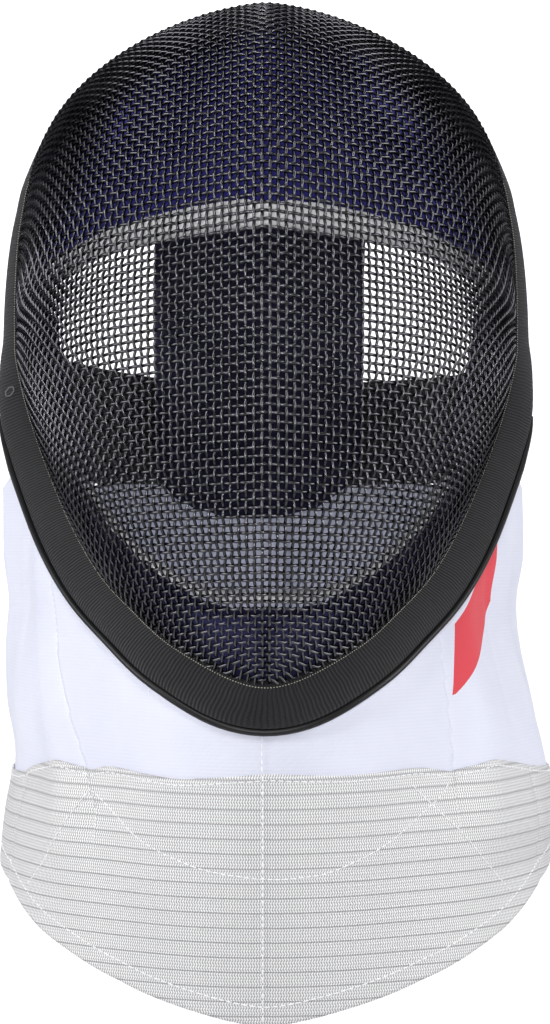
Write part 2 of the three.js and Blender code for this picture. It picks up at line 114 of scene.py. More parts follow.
def addObject(name, points, faces, material, uv=None, extraUv=None):
    # a smooth shaded mesh object from millimetre points; the uv arrays hold one pair for each point
    points = np.asarray(points, float).reshape(-1, 3)
    faces = np.asarray(faces, int)
    mesh = bpy.data.meshes.new(name)
    mesh.vertices.add(len(points))
    mesh.vertices.foreach_set("co", (points * mm).astype(np.float32).ravel())
    sides = faces.shape[1]
    mesh.loops.add(faces.size)
    mesh.loops.foreach_set("vertex_index", faces.ravel().astype(np.int32))
    mesh.polygons.add(len(faces))
    mesh.polygons.foreach_set("loop_start", np.arange(0, faces.size, sides, dtype=np.int32))
    mesh.update(calc_edges=True)
    mesh.polygons.foreach_set("use_smooth", np.ones(len(faces), bool))
    for layerName, values in (("UVMap", uv), ("fromTrim", extraUv)):
        if values is not None:
            layer = mesh.uv_layers.new(name=layerName)
            pairs = np.asarray(values, np.float32).reshape(-1, 2)
            layer.data.foreach_set("uv", pairs[faces.ravel()].ravel())
    mesh.validate()
    thing = bpy.data.objects.new(name, mesh)
    thing.data.materials.append(material)
    scene.collection.objects.link(thing)
    return thing


def gridFaces(rows, columns, closeColumns=False, offset=0):
    # quads between the points of a grid that is stored row by row
    j = np.arange(columns if closeColumns else columns - 1)
    i, j = np.meshgrid(np.arange(rows - 1), j, indexing="ij")
    up, right = i + 1, (j + 1) % columns
    quads = np.stack([i * columns + j, up * columns + j, up * columns + right, i * columns + right], -1)
    return quads.reshape(-1, 4) + offset


def gridNormals(grid):
    # unit normals of a grid of points, from its neighbours; missing points are skipped
    def slope(axis):
        ahead, behind = np.roll(grid, -1, axis), np.roll(grid, 1, axis)
        last = [slice(None)] * 3
        first = [slice(None)] * 3
        last[axis], first[axis] = -1, 0
        ahead[tuple(last)] = grid[tuple(last)]
        behind[tuple(first)] = grid[tuple(first)]
        ahead = np.where(np.isnan(ahead), grid, ahead)
        behind = np.where(np.isnan(behind), grid, behind)
        return ahead - behind
    return unit(np.cross(slope(0), slope(1)))


def clothBody(name, outer, thickness, material, uv, extraUv=None):
    # a sheet with two faces and rounded edges; thickness is laid on under the outer grid
    bulge = 0.35  # how far the edge stands out, as a share of the thickness
    printAway = 5000  # moves the print off the inner face
    rows, columns = outer.shape[:2]
    normals = gridNormals(outer)
    inner = outer - normals * thickness
    middle = outer - normals * thickness / 2
    points = [outer.reshape(-1, 3), inner.reshape(-1, 3)]
    layer = rows * columns
    faces = [gridFaces(rows, columns), gridFaces(rows, columns, offset=layer)[:, ::-1]]
    around = [(i, columns - 1) for i in range(rows)] + [(rows - 1, j) for j in range(columns - 2, -1, -1)]
    around += [(i, 0) for i in range(rows - 2, -1, -1)] + [(0, j) for j in range(1, columns - 1)]
    index = np.array([i * columns + j for i, j in around])
    flat = middle.reshape(-1, 3)[index]
    away = unit(flat - np.roll(flat, 1, 0))
    out = unit(np.cross(away, normals.reshape(-1, 3)[index]))
    centre = outer.reshape(-1, 3)[(rows // 2) * columns + index % columns]
    out = np.where(((flat - centre) * out).sum(-1, keepdims=True) < 0, -out, out)
    points.append(flat + out * thickness * bulge)
    rim = 2 * layer + np.arange(len(index))
    following = np.roll(np.arange(len(index)), -1)
    faces.append(np.stack([index, index[following], rim[following], rim], -1))
    faces.append(np.stack([rim, rim[following], layer + index[following], layer + index], -1))
    uv = uv.reshape(-1, 2)
    if extraUv is not None:
        # the second map holds the print, so on the inner face it lies far from the band
        extraUv = extraUv.reshape(-1, 2)
        extraUv = np.vstack([extraUv, extraUv + np.sign(extraUv) * (printAway, 0), extraUv[index]])
    uv = np.vstack([uv, uv, uv[index]])
    return addObject(name, np.vstack(points), np.vstack(faces), material, uv, extraUv)


def arcLength(path):
    steps = np.linalg.norm(np.diff(path, axis=0), axis=-1)
    return np.concatenate([[0], np.cumsum(steps)])


def follow(place, keys, path):
    # points of a path at places between its keys
    return np.stack([np.interp(place, keys, path[:, k]) for k in range(path.shape[1])], -1)


def sampleGrid(grid, row, column):
    # values between the points of a grid, at fractional rows and columns
    i = np.clip(np.floor(row).astype(int), 0, grid.shape[0] - 2)
    j = np.clip(np.floor(column).astype(int), 0, grid.shape[1] - 2)
    a, b = (row - i)[..., None], (column - j)[..., None]
    return ((grid[i, j] * (1 - b) + grid[i, j + 1] * b) * (1 - a)
            + (grid[i + 1, j] * (1 - b) + grid[i + 1, j + 1] * b) * a)


def flatMap(along, girth):
    # the uv grid of a cloth from millimetres along it and round it
    return np.stack(np.meshgrid(along, girth, indexing="ij"), -1)


def signedPower(values, power):
    return np.sign(values) * np.abs(values) ** power


def ringsAround(centres, radius, side, up, sides):
    # a ring of points round each centre, in the plane of side and up
    angles = np.arange(sides) * 2 * math.pi / sides
    circle = np.cos(angles)[None, :, None] * side[:, None] + np.sin(angles)[None, :, None] * up[:, None]
    return centres[:, None] + np.reshape(radius, (-1, 1, 1)) * circle


def joinTubes(tubes):
    # points and faces of many tubes, each given by its rings
    counts = np.cumsum([0] + [rings.shape[0] * rings.shape[1] for rings in tubes])
    faces = [gridFaces(*rings.shape[:2], closeColumns=True, offset=count)
             for rings, count in zip(tubes, counts)]
    return np.vstack([rings.reshape(-1, 3) for rings in tubes]), np.vstack(faces)


def tubeMesh(paths, normals, radius, sides):
    # a smooth round tube along each path
    tubes = []
    for path, normal in zip(paths, normals):
        along = unit(np.gradient(path, axis=0))
        side = unit(np.cross(along, normal))
        tubes.append(ringsAround(path, radius, side, np.cross(side, along), sides))
    return joinTubes(tubes)


# the four rings of a stitch: share of its length, and its size and height in radii
stitchProfile = np.array([(0, 0.35, -0.5), (0.2, 0.9, 0), (0.8, 0.9, 0), (1, 0.35, -0.5)])
stitchSides = 5


def stitchMesh(paths, normals, spec):
    # a row of small spindles on each path, with a gap between them; spec holds length, gap, radius and lift
    tubes = []
    for path, normal in zip(paths, normals):
        arc = arcLength(path)
        for start in np.arange(spec["gap"] / 2, arc[-1] - spec["length"], spec["length"] + spec["gap"]):
            at = start + stitchProfile[:, 0] * spec["length"]
            centre, up = follow(at, arc, path), unit(follow(at, arc, normal))
            side = unit(np.cross(unit(centre[-1] - centre[0])[None], up))
            centre = centre + up * (spec["lift"] + stitchProfile[:, 2:] * spec["radius"])
            tubes.append(ringsAround(centre, stitchProfile[:, 1] * spec["radius"], side, up, stitchSides))
    return joinTubes(tubes)


def ridesAs(thing, slotName, *nodes):
    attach(thing, "root")
    if nodes:
        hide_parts(*nodes)


# Materials

def startMaterial(name, settings):
    # a Principled material whose plain numbers go straight on its sockets
    material = bpy.data.materials.new(name)
    material.use_nodes = True
    tree = material.node_tree
    shader = tree.nodes["Principled BSDF"]
    for socket, value in settings.items():
        shader.inputs[socket].default_value = value
    return material, tree, shader


def addNode(tree, kind, settings, inputs, feeds=None):
    # one node; an input is a number or colour, or a pair of another node and its output, and feeds is a
    # pair of one of this node's outputs and the socket it goes to
    node = tree.nodes.new("ShaderNode" + kind)
    for key, value in settings.items():
        setattr(node, key, value)
    for socket, value in inputs.items():
        if isinstance(value, tuple) and len(value) == 2 and isinstance(value[0], bpy.types.Node):
            tree.links.new(value[0].outputs[value[1]], node.inputs[socket])
        else:
            node.inputs[socket].default_value = value
    if feeds:
        tree.links.new(node.outputs[feeds[0]], feeds[1])
    return node


def finishSurface(tree, shader, heights, colours=None):
    # the end of a material: bumps stacked one on the other, each a height, its depth in millimetres and a
    # strength, and a base colour between two, by a factor
    if colours:
        dark, light, factor = colours
        addNode(tree, "Mix", {"data_type": "RGBA"}, {"Factor": factor, 6: linear(dark), 7: linear(light)},
                (2, shader.inputs["Base Color"]))
    below = {}
    for height, depth, strength in heights:
        inputs = {"Height": height, "Distance": depth * mm, "Strength": strength, **below}
        bump = addNode(tree, "Bump", {}, inputs)
        below = {"Normal": (bump, "Normal")}
    tree.links.new(bump.outputs["Normal"], shader.inputs["Normal"])


def ribs(tree, source, axis, period, bend=0.0, bendPeriod=1.0):
    # 0 to 1 ribs across one axis of a millimetre map, which a second wave may bend into a zig-zag
    parts = addNode(tree, "SeparateXYZ", {}, {0: source})
    other = "Y" if axis == "X" else "X"
    turn = addNode(tree, "Math", {"operation": "PINGPONG"}, {0: (parts, other), 1: bendPeriod / 2})
    shift = addNode(tree, "Math", {"operation": "MULTIPLY_ADD"},
                    {0: (turn, 0), 1: bend * 2 / bendPeriod, 2: (parts, axis)})
    phase = addNode(tree, "Math", {"operation": "MULTIPLY"}, {0: (shift, 0), 1: 2 * math.pi / period})
    wave = addNode(tree, "Math", {"operation": "SINE"}, {0: (phase, 0)})
    return addNode(tree, "Math", {"operation": "MULTIPLY_ADD"}, {0: (wave, 0), 1: 0.5, 2: 0.5})


def blackenedWire():
    # steel wire, blackened: thin bright glints on every bend and dark sides, with uneven wear in the shine
    material, tree, shader = startMaterial("blackened_steel_wire", {
        "Base Color": linear("#525255"), "Metallic": 1.0, "Roughness": 0.28,
        "Specular Tint": linear("#38383b")})
    place = addNode(tree, "TexCoord", {}, {})
    wear = addNode(tree, "TexNoise", {}, {"Vector": (place, "Object"), "Scale": 60.0, "Detail": 3.0})
    addNode(tree, "Mix", {"data_type": "RGBA"},
            {"Factor": (wear, "Fac"), 6: linear("#464649"), 7: linear("#68686c")},
            (2, shader.inputs["Base Color"]))
    addNode(tree, "MapRange", {}, {0: (wear, "Fac"), 3: 0.2, 4: 0.34}, (0, shader.inputs["Roughness"]))
    return material


def grosgrainTape():
    # woven polyester tape, ribbed across its length: matt, dark grey, with a fine wavy rib every 1.5 mm, and
    # painted shade darkening the grooves between the ribs
    material, tree, shader = startMaterial("ribbed_polyester_tape", {
        "Base Color": linear("#1a1a1c"), "Roughness": 0.8, "Sheen Weight": 0.1, "Specular IOR Level": 0.25})
    place = addNode(tree, "UVMap", {"uv_map": "UVMap"}, {})
    warp = addNode(tree, "TexNoise", {}, {"Vector": (place, "UV"), "Scale": 0.09, "Detail": 2.0})
    bent = addNode(tree, "VectorMath", {"operation": "MULTIPLY_ADD"},
                   {0: (warp, "Color"), 1: (1.0, 0.0, 0.0), 2: (place, "UV")})
    rib = ribs(tree, (bent, 0), "X", 1.5, bend=0.3, bendPeriod=9.0)
    thread = ribs(tree, (bent, 0), "Y", 0.75)
    cloud = addNode(tree, "TexNoise", {}, {"Vector": (place, "UV"), "Scale": 0.05, "Detail": 3.0})
    # tone: painted shade in the grooves between the ribs, over a random cloud of the tape's own tone
    tone = addNode(tree, "Math", {"operation": "MULTIPLY_ADD"},
                   {0: (rib, 0), 1: 0.8, 2: (cloud, "Fac")})
    finishSurface(tree, shader, [((rib, 0), 0.45, 0.9), ((thread, 0), 0.12, 0.4)],
                  ("#060607", "#252528", (tone, 0)))
    return material


def coatedPiping():
    # cord in coated cloth: smoother and darker than the tape, so it takes a soft line of light
    material, tree, shader = startMaterial("coated_piping", {
        "Base Color": linear("#111113"), "Roughness": 0.42, "Specular IOR Level": 0.4})
    place = addNode(tree, "TexCoord", {}, {})
    grain = addNode(tree, "TexNoise", {}, {"Vector": (place, "Object"), "Scale": 900.0, "Detail": 2.0})
    finishSurface(tree, shader, [((grain, "Fac"), 0.08, 0.35)])
    return material


def brushedJersey(name, dark, light):
    # knitted polyester, brushed: deep navy that lifts at grazing angles, with fine knit rows 0.9 mm apart
    material, tree, shader = startMaterial(name, {
        "Base Color": linear(light), "Roughness": 0.9, "Sheen Weight": 0.2, "Sheen Roughness": 0.5,
        "Sheen Tint": linear("#6a6ab0"), "Specular IOR Level": 0.3})
    place = addNode(tree, "TexCoord", {}, {})
    scaled = addNode(tree, "VectorMath", {"operation": "SCALE"}, {0: (place, "Object"), "Scale": 1 / mm})
    knit = ribs(tree, (scaled, 0), "X", 0.9)
    row = ribs(tree, (scaled, 0), "Z", 0.9)
    weave = addNode(tree, "Math", {"operation": "MULTIPLY"}, {0: (knit, 0), 1: (row, 0)})
    nap = addNode(tree, "TexNoise", {}, {"Vector": (place, "Object"), "Scale": 22.0, "Detail": 4.0})
    finishSurface(tree, shader, [((nap, "Fac"), 1.2, 0.35), ((weave, 0), 0.2, 0.5)],
                  (dark, light, (nap, "Fac")))
    return material


def foldedTape():
    # cotton binding folded over the edge: matt and near white, which the shade inside the wire turns light
    # grey, with a plain weave 0.6 mm apart
    material, tree, shader = startMaterial("folded_cotton_tape", {
        "Base Color": linear("#ededf0"), "Roughness": 0.9, "Sheen Weight": 0.1})
    place = addNode(tree, "UVMap", {"uv_map": "UVMap"}, {})
    over = ribs(tree, (place, "UV"), "X", 0.6)
    under = ribs(tree, (place, "UV"), "Y", 0.6)
    weave = addNode(tree, "Math", {"operation": "MULTIPLY"}, {0: (over, 0), 1: (under, 0)})
    finishSurface(tree, shader, [((weave, 0), 0.15, 0.5)], ("#f4f4f6", "#ffffff", (weave, 0)))
    return material


def wovenElastic():
    # woven rubber elastic: black, ribbed along its length every 1.3 mm with fine cross threads
    material, tree, shader = startMaterial("woven_black_elastic", {
        "Base Color": linear("#17171a"), "Roughness": 0.82, "Sheen Weight": 0.1})
    place = addNode(tree, "UVMap", {"uv_map": "UVMap"}, {})
    rib = ribs(tree, (place, "UV"), "Y", 1.3)
    thread = ribs(tree, (place, "UV"), "X", 0.8, bend=0.4, bendPeriod=1.3)
    finishSurface(tree, shader, [((rib, 0), 0.3, 0.7), ((thread, 0), 0.12, 0.5)],
                  ("#0b0b0d", "#202024", (rib, 0)))
    return material


def whiteTwill(band):
    # tight polyester twill: cool white and matt, fine level lines 1.4 mm apart over a diagonal twill 1 mm
    # apart. The red band is printed on it, so it keeps the weave.
    material, tree, shader = startMaterial("white_polyester_twill", {
        "Base Color": linear("#eceffb"), "Roughness": 0.86, "Sheen Weight": 0.12, "Sheen Roughness": 0.4})
    place = addNode(tree, "UVMap", {"uv_map": "UVMap"}, {})
    line = ribs(tree, (place, "UV"), "Y", 1.4)
    turned = addNode(tree, "VectorRotate", {"rotation_type": "Z_AXIS"},
                     {"Vector": (place, "UV"), "Angle": math.radians(38)})
    twill = ribs(tree, (turned, 0), "X", 1.0)
    cloud = addNode(tree, "TexNoise", {}, {"Vector": (place, "UV"), "Scale": 0.02, "Detail": 3.0})
    tone = addNode(tree, "Math", {"operation": "MULTIPLY_ADD"},
                   {0: (line, 0), 1: 0.12, 2: (cloud, "Fac")})
    cloth = addNode(tree, "Mix", {"data_type": "RGBA"},
                    {"Factor": (tone, 0), 6: linear("#d5d7e8"), 7: linear("#eaecf9")})
    trimMap = addNode(tree, "UVMap", {"uv_map": "fromTrim"}, {})
    edge = addNode(tree, "SeparateXYZ", {}, {0: (trimMap, "UV")})
    slant = addNode(tree, "Math", {"operation": "MULTIPLY_ADD"},
                    {0: (edge, "Y"), 1: band["slant"], 2: (edge, "X")})
    limits = (((slant, 0), band["from"], band["to"]), ((edge, "Y"), band["top"], band["bottom"]))
    inside = None
    for source, low, high in limits:
        for limit, operation in ((low, "GREATER_THAN"), (high, "LESS_THAN")):
            test = addNode(tree, "Math", {"operation": operation}, {0: source, 1: limit})
            if inside is not None:
                test = addNode(tree, "Math", {"operation": "MULTIPLY"}, {0: (inside, 0), 1: (test, 0)})
            inside = test
    addNode(tree, "Mix", {"data_type": "RGBA"},
            {"Factor": (inside, 0), 6: (cloth, 2), 7: linear(band["colour"])},
            (2, shader.inputs["Base Color"]))
    finishSurface(tree, shader, [((line, 0), 0.1, 0.3), ((twill, 0), 0.14, 0.4)])
    return material


def silverLame():
    # cloth woven with metal thread: pale silver with a soft glint, a dark rib every 5.7 mm and a fine
    # upright zig-zag 1 mm apart between the ribs
    material, tree, shader = startMaterial("silver_metal_cloth", {
        "Base Color": linear("#dfdfe2"), "Metallic": 0.15, "Roughness": 0.5, "Sheen Weight": 0.1})
    place = addNode(tree, "UVMap", {"uv_map": "UVMap"}, {})
    parts = addNode(tree, "SeparateXYZ", {}, {0: (place, "UV")})
    zigzag = ribs(tree, (place, "UV"), "X", 1.05, bend=0.55, bendPeriod=2.3)
    fold = addNode(tree, "Math", {"operation": "PINGPONG"}, {0: (parts, "Y"), 1: 2.85})
    rib = addNode(tree, "MapRange", {"interpolation_type": "SMOOTHSTEP"},
                  {0: (fold, 0), 1: 0.0, 2: 0.5, 3: 0.25, 4: 1.0})
    cross = ribs(tree, (place, "UV"), "Y", 1.15)
    thread = addNode(tree, "Math", {"operation": "MULTIPLY"}, {0: (zigzag, 0), 1: 0.8})
    both = addNode(tree, "Math", {"operation": "MULTIPLY_ADD"}, {0: (cross, 0), 1: 0.25, 2: (thread, 0)})
    height = addNode(tree, "Math", {"operation": "MULTIPLY"}, {0: (both, 0), 1: (rib, 0)})
    finishSurface(tree, shader, [((rib, 0), 0.4, 0.6), ((both, 0), 0.25, 0.6)],
                  ("#979699", "#ffffff", (height, 0)))
    return material


def spunThread(name, colour):
    # spun polyester thread: matt, and lighter where it stands proud
    material, tree, shader = startMaterial(name, {"Base Color": linear(colour), "Roughness": 0.7})
    place = addNode(tree, "TexCoord", {}, {})
    twist = addNode(tree, "TexNoise", {}, {"Vector": (place, "Object"), "Scale": 1500.0})
    finishSurface(tree, shader, [((twist, "Fac"), 0.05, 0.5)])
    return material


redBand = {"colour": "#e04a55", "from": 118, "to": 182, "top": 17, "bottom": 40, "slant": 0.5}
wireMaterial = blackenedWire()
tapeMaterial = grosgrainTape()
pipingMaterial = coatedPiping()
# one navy jersey in lit and shaded copies: the chin and side pads and the tongue take darker copies, which
# are painted shade
jerseys = {
    "crown": brushedJersey("navy_jersey", "#14143a", "#35318c"),
    "chin": brushedJersey("shaded_navy_jersey", "#0a0a1a", "#1d1c4c"),
    "tongue": brushedJersey("deep_shaded_navy_jersey", "#0a0a16", "#181836"),
}
bindingMaterial = foldedTape()
elasticMaterial = wovenElastic()
twillMaterial = whiteTwill(redBand)
lameMaterial = silverLame()
whiteThread = spunThread("white_polyester_thread", "#f6f6f8")
seamThread = spunThread("beige_seam_thread", "#b8b5a6")
greyThread = spunThread("grey_loop_thread", "#77777a")
print("Materials made")


# The bowl's surface, which the wires, linings and trim follow

bowl = {
    "fill": 0.985, "softness": 0.05, "mostCreased": 0.85, "middle": (0, -40, -130), "trimWidth": 20,
    "longest": 225,  # ridge to edge at the widest row, with some to spare
    "mapRows": 257, "mapStep": 1.5,
    # ridgeY, ridgeZ, edgeX, edgeY, edgeZ, crease, round, flare, and how far a cross wire falls by the edge
    "rows": [
        (-125, -261, 10, -124, -260.5, 34, 2.6, 17.8, 0),
        (-141, -247, 35, -112, -247, 34, 2.6, 17.6, 0),
        (-152, -233, 52, -93, -233, 33, 2.6, 17.3, 4),
        (-161, -218, 66.5, -72, -219, 29, 2.6, 17.3, 9),
        (-167, -200, 79.5, -49, -200, 24, 2.6, 17.5, 16),
        (-170, -177, 91.5, -24, -177, 20, 2.6, 16.6, 27),
        (-170.5, -152, 102, -3, -152, 20, 2.6, 16.2, 42),
        (-168, -122, 108.6, 7, -127, 19, 2.6, 9.2, 44),
        (-163, -94, 109.8, 12, -113, 19, 2.5, 7.2, 43),
        (-156, -62, 110, 15, -95, 18, 2.3, 6.8, 22),
        (-132, -22, 109.5, 21, -73, 17, 2.1, 5.6, 4),
        (-105, -2, 107.5, 24, -57, 12, 2, 4.8, -2),
        (-75, 9, 104.5, 26, -43, 9, 2, 4.5, -4),
        (-25, 15, 95, 29, -20, 8, 2.05, 3.6, -6),
        (5, 14, 86, 33, -7, 9, 2.05, 3.2, -8),
        (28, 12.5, 62, 39, 4, 12, 2, 3, -8),
        (45, 10, 10, 45, 10, 8, 2, 3, -8),
    ],
}
lastRow = len(bowl["rows"]) - 1


def bowlSection(row, count=200):
    # half a cross section from the ridge to the right edge, and its arc length
    ridgeY, ridgeZ, edgeX, edgeY, edgeZ, crease, power, _, _ = between(bowl["rows"], row)
    u = np.sin(np.linspace(0, math.pi / 2, count))
    straight = lambda v: np.hypot(v, bowl["softness"]) - bowl["softness"]
    rounded = lambda v: 1 - (1 - (v * bowl["fill"]) ** power) ** (1 / power)
    depth = max(math.hypot(edgeY - ridgeY, edgeZ - ridgeZ), 0.01)
    creased = min(math.tan(math.radians(crease)) * edgeX / depth, bowl["mostCreased"])
    back = rounded(u) / rounded(1) * (1 - creased) + straight(u) / straight(1) * creased
    points = np.stack([u * edgeX, ridgeY + (edgeY - ridgeY) * back, ridgeZ + (edgeZ - ridgeZ) * back], -1)
    return points, arcLength(points)


def facingOut(points, normals):
    # the normals, turned where they look at the middle of the bowl
    outward = ((points - bowl["middle"]) * normals).sum(-1, keepdims=True)
    return np.where(outward < 0, -normals, normals)


def rimOut(row):
    # the way the trim runs on from the right edge of the wire
    step = 0.05
    low, high = np.maximum(row - step, 0), np.minimum(row + step, lastRow)
    along = unit(between(bowl["rows"], high)[..., [2, 4]] - between(bowl["rows"], low)[..., [2, 4]])
    flare = between(bowl["rows"], row)[..., 7]
    back = np.sqrt(bowl["trimWidth"] ** 2 - flare ** 2)
    return unit(np.stack([along[..., 1] * flare, back, -along[..., 0] * flare], -1))


class BowlMap:
    # the bowl's right half as a dense grid over its rows and distances from the ridge
    def __init__(self, rows, distance):
        sections = [bowlSection(row) for row in rows]
        self.rows, self.distance = rows, distance
        self.lengths = np.array([arc[-1] for _, arc in sections])
        self.points = np.empty((len(rows), len(self.distance), 3))
        for i, (points, arc) in enumerate(sections):
            self.points[i] = follow(self.distance, arc, points)
            over = np.maximum(self.distance - arc[-1], 0)
            self.points[i] += over[:, None] * rimOut(np.array(rows[i]))
        normals = gridNormals(self.points)
        normals[:, 0] = normals[:, 1] * (0, 1, 1)  # the ridge looks straight ahead
        self.normals = facingOut(self.points, unit(normals))

    def at(self, row, across, depth=0.0):
        # points under the face at a row and a place across, from 0 at the left edge to 1 at the right
        row, across = np.broadcast_arrays(np.asarray(row, float), np.asarray(across, float))
        place = np.interp(row, self.rows, np.arange(len(self.rows)))
        signed = (2 * across - 1) * np.interp(row, self.rows, self.lengths)
        column = np.interp(np.abs(signed), self.distance, np.arange(len(self.distance)))
        column = np.minimum(column, len(self.distance) - 1.001)
        side = np.where(signed < 0, -1, 1)[..., None] * (1, 0, 0) + (0, 1, 1)
        normal = unit(sampleGrid(self.normals, place, column)) * side
        points = sampleGrid(self.points, place, column) * side
        return points - normal * np.asarray(depth, float)[..., None], normal


bowlMap = BowlMap(np.linspace(0, lastRow, bowl["mapRows"]), np.arange(0, bowl["longest"], bowl["mapStep"]))
print("Bowl surface made")


# Woven wire

# the press draws the cloth out towards the sides, so both pitches grow there
weave = {
    "pitch": 3.08, "crossPitch": 3.06, "wire": 0.61, "crimp": 0.56, "depth": 1.0, "intoTrim": 4.5, "sides": 5,
    "overRows": 0.12, "gridRows": 500, "drawn": 0.0045, "drawnFrom": 25, "crossDrawn": 0.16,
    "crossDrawnTo": 0.8, "fallStart": 0.4, "stillRow": 2.5,
    "crownRow": 12,  # over this row the cross wires keep to the width there
}


def wireGrid():
    # points at every half pitch along both sets of wires, for the whole width, with their normals
    rows = np.linspace(-weave["overRows"], lastRow + weave["overRows"], weave["gridRows"])
    distance = [0]
    while distance[-1] < bowl["longest"]:
        drawn = weave["drawn"] * max(distance[-1] - weave["drawnFrom"], 0)
        distance.append(distance[-1] + weave["pitch"] / 2 * (1 + drawn))
    wide = BowlMap(rows, np.array(distance))
    table = between(bowl["rows"], rows)
    ridge = np.interp(rows, rows, arcLength(table[:, :2]))
    crownLength = np.interp(weave["crownRow"], rows, wide.lengths)
    reach = np.where(rows > weave["crownRow"], np.maximum(wide.lengths, crownLength), wide.lengths)
    share = np.clip(wide.distance[None, :] / reach[:, None], 0, 1)
    start = weave["fallStart"]
    still = np.interp(weave["stillRow"], rows, ridge)
    drawn = 1 - weave["crossDrawn"] * smoothstep(share, 0, weave["crossDrawnTo"])
    climb = (still + (ridge[:, None] - still) * drawn
             + table[:, 8:9] * (start * share + (1 - start) * share ** 2))
    wanted = np.arange(math.ceil(climb.min()), climb.max(), weave["crossPitch"] / 2)
    allowed = wide.distance[None, :] <= wide.lengths[:, None] + weave["intoTrim"]
    grid = np.full((len(wide.distance), len(wanted), 3), np.nan)
    for j in range(len(wide.distance)):
        inside = allowed[:, j]
        if inside.sum() < 2:
            continue
        height, points = climb[inside, j], wide.points[inside, j]
        fits = (wanted >= height.min()) & (wanted <= height.max())
        grid[j, fits] = follow(wanted[fits], height, points)
    whole = np.concatenate([grid[:0:-1] * (-1, 1, 1), grid])
    return whole, facingOut(whole, gridNormals(whole))


def runs(missing):
    # first and last index of each unbroken run
    have = np.concatenate([[False], ~missing, [False]])
    edges = np.flatnonzero(have[1:] != have[:-1])
    return list(zip(edges[::2], edges[1::2]))


def weaveWires():
    points, normals = wireGrid()
    middle = len(points) // 2
    across = np.arange(len(points)) - middle  # half pitches from the ridge: odd ones carry the long wires
    up = np.arange(points.shape[1])           # half pitches up the ridge: even ones carry the cross wires
    crossing = np.where((np.floor_divide(across[:, None] - 1, 2) + up[None, :] // 2) % 2 == 0, 1.0, -1.0)
    atBoth = (across[:, None] % 2 == 1) & (up[None, :] % 2 == 0)
    bend = np.where(atBoth, crossing, 0.0)[..., None] * weave["crimp"]
    centre = points - normals * weave["depth"]
    long, cross = centre + normals * bend, centre - normals * bend
    missing = np.isnan(points[..., 0]) | np.isnan(normals[..., 0])
    made = {"long_wires_left": [], "long_wires_right": [], "cross_wires_left": [], "cross_wires_right": []}
    for i in np.flatnonzero(across % 2 == 1):
        side = "left" if across[i] < 0 else "right"
        for a, b in runs(missing[i]):
            if b - a > 3:
                made["long_wires_" + side].append((long[i, a:b], normals[i, a:b]))
    for j in np.flatnonzero(up % 2 == 0):
        for side, low, high in (("left", 0, middle + 1), ("right", middle, len(points))):
            for a, b in runs(missing[low:high, j]):
                if b - a > 2:
                    part = slice(low + a, low + b)
                    made["cross_wires_" + side].append((cross[part, j], normals[part, j]))
    things = []
    for name, wires in made.items():
        tube = tubeMesh([w[0] for w in wires], [w[1] for w in wires], weave["wire"], weave["sides"])
        things.append(addObject(name, *tube, wireMaterial))
        print(" ", name, len(wires), "wires,", 2 * len(tube[1]), "triangles")
    ridesAs(things[0], "wire", "mesh_bowl")
    for thing in things[1:]:
        ridesAs(thing, "wire")


weaveWires()
print("Wire woven")


# Trim, piping and seam

trim = {
    # share of the width from the seam, and height over the wire
    "section": [(-0.06, 0.3), (0.14, 1.7), (0.5, 2.4), (0.86, 1.5), (1, -1), (0.84, -3.6), (0.5, -6.4),
                (0.12, -5.2), (-0.24, -4.4), (-0.33, -3.4), (-0.24, -2.6), (-0.08, -2.2)],
    "meanWidth": 18, "framesARow": 8, "around": 44, "beside": 6.0, "fade": 0.5, "soften": 24,
    "chinLift": 1.6,  # how far the tape reaches over the wire at the chin
}
piping = {"radius": 1.6, "up": 0.1, "lastRow": 6.3, "taper": 0.9, "thinnest": 0.02, "tuck": 0.7, "sides": 12}
edgeFold = {"up": -1.2, "radius": 0.6, "sides": 8}
seam = {"length": 0.5, "gap": 0.6, "radius": 0.22, "lift": 1.0, "in": -0.7}


def closedCurve(points, count):
    # a smooth closed curve through a few points
    points = np.asarray(points, float)
    place = np.arange(count) * len(points) / count
    wrapped = np.vstack([points[-2:], points, points[:3]])
    return between(wrapped, place + 2)


def rimLoop():
    # frames round the edge of the wire: from the chin up the right side, over the crown and down the left
    corners = np.array(bowl["rows"])[:, 2:5]
    flip = (-1, 1, 1)
    count = 2 * len(corners) * trim["framesARow"]
    edge = closedCurve(np.vstack([corners, corners[::-1] * flip]), count)
    place = np.arange(count) / trim["framesARow"]
    row = np.clip(np.minimum(place, 2 * lastRow + 1 - place), 0, lastRow)
    edge[:, 2] += trim["chinLift"] * np.exp(-row ** 2)
    out = rimOut(row)
    right = place <= lastRow + 0.5
    out = np.where((right | (place > 2 * lastRow + 1.5))[:, None], out, out * flip)
    for _ in range(trim["soften"]):
        out = unit(np.roll(out, 1, 0) + 2 * out + np.roll(out, -1, 0))
    along = unit(np.roll(edge, -1, 0) - np.roll(edge, 1, 0))
    up = facingOut(edge, unit(np.cross(along, out)))
    return {"edge": edge, "out": out, "up": up, "row": row, "right": right}


rim = rimLoop()


def tapeWidth(row):
    # the tape is narrower where the piping runs beside it
    beside = 1 - smoothstep(row, trim["beside"] - trim["fade"], trim["beside"] + trim["fade"])
    narrower = (2 * piping["radius"] - piping["tuck"]) * beside
    return bowl["trimWidth"] - narrower + trim["chinLift"] * np.exp(-row ** 2)


def onFrames(frames, away, height):
    # a ring of points at each frame, from how far out and up each lies
    return (frames["edge"][:, None] + frames["out"][:, None] * away[..., None]
            + frames["up"][:, None] * height[..., None])


def closed(path):
    return np.concatenate([path, path[:1]])


